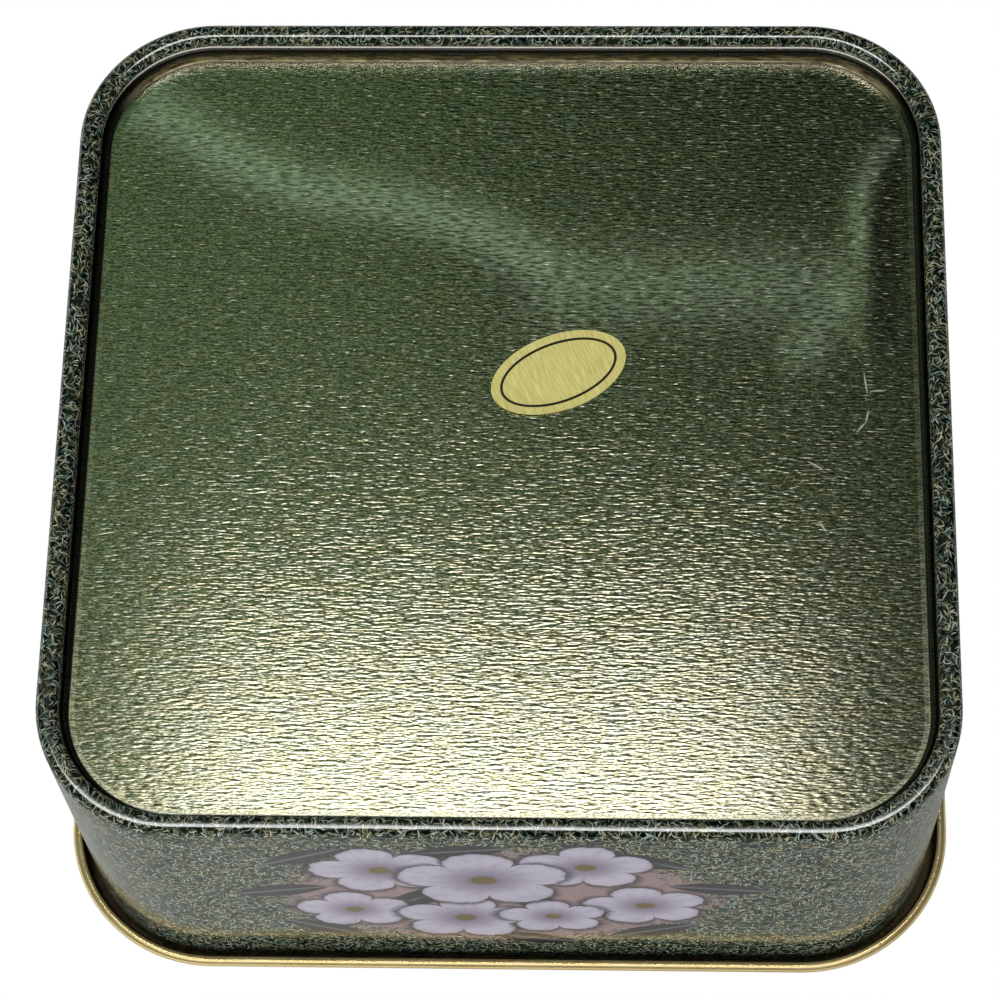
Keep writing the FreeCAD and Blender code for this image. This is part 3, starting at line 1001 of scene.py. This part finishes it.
def make_label(foil):
    """An oval label that follows the creases of the panel, with one edge lifted."""
    middle = (label_low + label_high) / 2
    thick = label_high.z - label_low.z
    vertices, spots = [], []
    for drop in (thick, LABEL_GLUE):
        for ring in range(LABEL_RINGS + 1):
            for spoke in range(LABEL_SPOKES):
                angle = 2 * math.pi * spoke / LABEL_SPOKES
                share = ring / LABEL_RINGS
                along = LABEL_LENGTH / 2 * share * math.cos(angle)
                across = LABEL_WIDTH / 2 * share * math.sin(angle)
                x, y = np.array(middle.xy) + turned((along, across), LABEL_TURN)
                peel = along / LABEL_LENGTH - across / LABEL_WIDTH - LABEL_PEEL[0]
                lift = LABEL_LIFT * smooth(peel / LABEL_PEEL[1])
                crease = creased(np.array([x]), np.array([y]))[0]
                vertices.append((x, y, PANEL + crease - lift - drop))
                spots.append((along, across))
    faces = []
    size = (LABEL_RINGS + 1) * LABEL_SPOKES
    for spoke in range(LABEL_SPOKES):
        ahead = (spoke + 1) % LABEL_SPOKES
        for face in (0, size):
            faces += [(face + r * LABEL_SPOKES + spoke, face + r * LABEL_SPOKES + ahead,
                       face + (r + 1) * LABEL_SPOKES + ahead, face + (r + 1) * LABEL_SPOKES + spoke)
                      for r in range(LABEL_RINGS)]
        rim = LABEL_RINGS * LABEL_SPOKES
        faces.append((rim + spoke, rim + ahead, size + rim + ahead, size + rim + spoke))
    places = [tuple(spots[corner] for corner in face) for face in faces]
    piece = make_piece("foil_label_oval", np.array(vertices), faces, places, [0] * len(faces), (foil,),
                       "box", "foil_label")
    face_outwards(piece.data, SAME * MM)
    return piece


# Stage: a pale floor that shows from above only, soft lamps and a white surround

FLOOR_SIZE = 3.0
FLOOR_DROP = 0.0002
FLOOR_PAINT = (0.86, 0.86, 0.86)
WHITE = (1, 1, 1)
AMBIENT_LOW = (0.50, 0.50, 0.50)
AMBIENT_HIGH = (1.0, 1.0, 0.96)

# What shiny surfaces see, from straight below (0) to straight above (1)
SURROUND = (
    (0.00, (0.045, 0.056, 0.042)),
    (0.036, (0.062, 0.090, 0.057)),
    (0.052, (0.096, 0.158, 0.090)),
    (0.080, (0.040, 0.074, 0.044)),
    (0.13, (0.018, 0.026, 0.018)),
    (0.36, (0.012, 0.016, 0.016)),
    (0.48, (0.300, 0.320, 0.340)),
    (0.56, (0.800, 0.800, 0.780)),
    (0.80, (0.280, 0.285, 0.270)),
)
HORIZON = 0.5
SIDE_SHADE = (-0.18, 0.11, 0.28, 1.50)  # from one side (x, x) to the other, and the two shades
DARK_HEIGHT = (0.063, 0.069)  # a darker part of the surround
DARK_SIDE = (0.045, 0.066)
DARK_SHADE = 0.10

# How a lamp shows: as light on dull surfaces, and as a reflection
BOTH = (True, True)
DULL_ONLY = (True, False)
GLOSS_ONLY = (False, True)

# Lamps. fade is how far in from its edges a lamp is dimmer, and lit names the pieces that it lights.
LAMPS = {
    "base_lamp": dict(place=(0.014, -0.026, -0.26), aim=(0.014, -0.026, 0), size=(0.163, 0.162), turn=2,
                      fade=0.035, power=0.274, shown=BOTH, lit="base"),
    "rim_lamp": dict(place=(0.014, -0.03, -0.30), aim=(0.014, -0.03, 0), size=(0.35, 0.125),
                     fade=0.01, power=2.2, shown=GLOSS_ONLY, lit="wall"),
    "curl_lamp": dict(place=(0.014, -0.19, -0.25), aim=(0.014, -0.19, 0), size=(0.40, 0.26),
                      fade=0.03, power=0.50, shown=GLOSS_ONLY, lit="lid"),
    "front_lamp": dict(place=(0.15, -0.60, -0.35), aim=(0, 0, 0.03), size=(0.4, 0.4),
                       power=2.5, shown=DULL_ONLY),
    "key_lamp": dict(place=(-0.55, -0.60, 0.80), aim=(0, 0, 0), size=(0.5, 0.5),
                     power=4.0, shown=DULL_ONLY),
    "fill_lamp": dict(place=(0.70, 0.30, 0.60), aim=(0, 0, 0), size=(0.6, 0.6),
                      power=2.0, shown=DULL_ONLY),
}


def make_world():
    """White to the camera, pale light on dull surfaces, and a dim room in shiny ones."""
    world = bpy.data.worlds.new("studio")
    bpy.context.scene.world = world
    world.use_nodes = True
    graph = Graph(world.node_tree)
    background = world.node_tree.nodes["Background"]
    way = graph.parts(graph.add("ShaderNodeTexCoord", {}).outputs["Generated"])
    height = graph.sum("MULTIPLY_ADD", way[2], HORIZON, HORIZON)
    shade = graph.ease(way[0], *SIDE_SHADE)
    lit = graph.ease(way[0], *DARK_SIDE, DARK_SHADE, 1.0)
    lit = graph.sum("MAXIMUM", lit, graph.ease(height, *DARK_HEIGHT, 1.0, DARK_SHADE))
    shade = graph.times(shade, lit)
    shade = graph.sum("MAXIMUM", shade, graph.sum("GREATER_THAN", height, HORIZON))
    room = graph.scale(graph.ramp(height, SURROUND), shade)
    dull = graph.mix(height, AMBIENT_LOW, AMBIENT_HIGH)
    ray = graph.add("ShaderNodeLightPath", {}).outputs
    seen = graph.mix(ray["Is Glossy Ray"], dull, room)
    graph.put(background.inputs["Color"], graph.mix(ray["Is Camera Ray"], seen, WHITE))


def make_floor():
    """A pale floor that only the camera sees, and only from above."""
    mesh = bpy.data.meshes.new("floor")
    half = FLOOR_SIZE / 2
    mesh.from_pydata([(-half, -half, -FLOOR_DROP), (half, -half, -FLOOR_DROP),
                      (half, half, -FLOOR_DROP), (-half, half, -FLOOR_DROP)], [], [(0, 1, 2, 3)])
    floor = add_object("floor", mesh)
    material, graph, shader = new_material("pale_floor")
    nodes = material.node_tree.nodes
    nodes.remove(shader)
    ray = graph.add("ShaderNodeLightPath", {}).outputs
    under = graph.add("ShaderNodeNewGeometry", {}).outputs["Backfacing"]
    shown = graph.times(ray["Is Camera Ray"], graph.minus(1.0, under))
    paint = graph.add("ShaderNodeBsdfDiffuse", {"Color": FLOOR_PAINT}).outputs[0]
    clear = graph.add("ShaderNodeBsdfTransparent", {}).outputs[0]
    graph.put(nodes["Material Output"].inputs["Surface"],
              graph.add("ShaderNodeMixShader", {0: shown, 1: clear, 2: paint}).outputs[0])
    mesh.materials.append(material)


LAMP_MIDDLE = 0.5  # a lamp runs from 0 to 1 each way


def make_lamp(name, lit_pieces, place, aim, size, power, shown, turn=0, fade=0, lit="all"):
    """An area lamp, whose light fades out towards its edges, for all pieces or for some."""
    light = bpy.data.lights.new(name, "AREA")
    light.shape = "RECTANGLE"
    light.size, light.size_y = size
    light.energy = power
    if fade:
        light.use_nodes = True
        graph = Graph(light.node_tree)
        spot = graph.parts(graph.add("ShaderNodeNewGeometry", {}).outputs["Parametric"])
        glow = 1.0
        for share, length in zip(spot, size):
            room = graph.sum("PINGPONG", share, LAMP_MIDDLE)
            glow = graph.times(glow, graph.ease(room, 0.0, fade / length))
        graph.put(light.node_tree.nodes["Emission"].inputs["Strength"], glow)
    lamp = add_object(name, light)
    lamp.location = place
    towards = (Vector(aim) - Vector(place)).to_track_quat("-Z", "Y").to_matrix()
    lamp.rotation_euler = (Matrix.Rotation(math.radians(turn), 3, "Z") @ towards).to_euler()
    lamp.visible_camera = False
    lamp.visible_diffuse, lamp.visible_glossy = shown
    if lit_pieces[lit]:
        receivers = bpy.data.collections.new(name)
        for piece in lit_pieces[lit]:
            receivers.objects.link(piece)
        lamp.light_linking.receiver_collection = receivers


# Camera, set to the photo's view of the upturned tin: it stands below the base

CAMERA_PLACE = (-0.015061, -0.187986, -0.403453)
CAMERA_PITCH = math.radians(66.527)
CAMERA_YAW = math.radians(-4.977)
CAMERA_ROLL = math.radians(-4.223)
CAMERA_LENS = 119.57


def make_camera():
    """A camera at the photo's viewing angle."""
    cos_pitch = math.cos(CAMERA_PITCH)
    cos_yaw, sin_yaw = math.cos(CAMERA_YAW), math.sin(CAMERA_YAW)
    forward = Vector((sin_yaw * cos_pitch, cos_yaw * cos_pitch, -math.sin(CAMERA_PITCH)))
    level_right = Vector((cos_yaw, -sin_yaw, 0))
    level_up = level_right.cross(forward)
    right = math.cos(CAMERA_ROLL) * level_right + math.sin(CAMERA_ROLL) * level_up
    up = -math.sin(CAMERA_ROLL) * level_right + math.cos(CAMERA_ROLL) * level_up
    turn = Matrix.Rotation(math.pi, 3, "Y")
    columns = Matrix((turn @ right, turn @ up, turn @ -forward)).transposed()
    data = bpy.data.cameras.new("camera")
    data.lens = CAMERA_LENS
    camera = add_object("camera", data)
    camera.matrix_world = Matrix.Translation(CAMERA_PLACE) @ columns.to_4x4()
    bpy.context.scene.camera = camera


bpy.context.scene.view_settings.view_transform = "Standard"
make_camera()
make_world()
make_floor()
front_middle = CORNER_RADIUS * math.pi / 4 + CORNER_CENTRE  # run along the sheet
edge = bare_edge()
lacquer = gold_lacquer("gold_lacquer", False)
wall_sheet = make_body_wall(printed_tinplate("wall_print", True),
                            printed_tinplate("picture_print", True, front_middle), lacquer, edge)
base_pan = make_base_pan(brushed_lacquer("gold_lacquer_brushed", False),
                         brushed_lacquer("gold_lacquer_rim", True), edge)
lid_sheet = make_lid(printed_tinplate("lid_print", False), lacquer,
                     gold_lacquer("gold_lacquer_skirt", True), edge)
make_seam_fold(lacquer)
label = make_label(gold_foil())

lit_pieces = {"base": (base_pan, label), "wall": (wall_sheet,), "lid": (lid_sheet,), "all": ()}
for name, lamp in LAMPS.items():
    make_lamp(name, lit_pieces, **lamp)
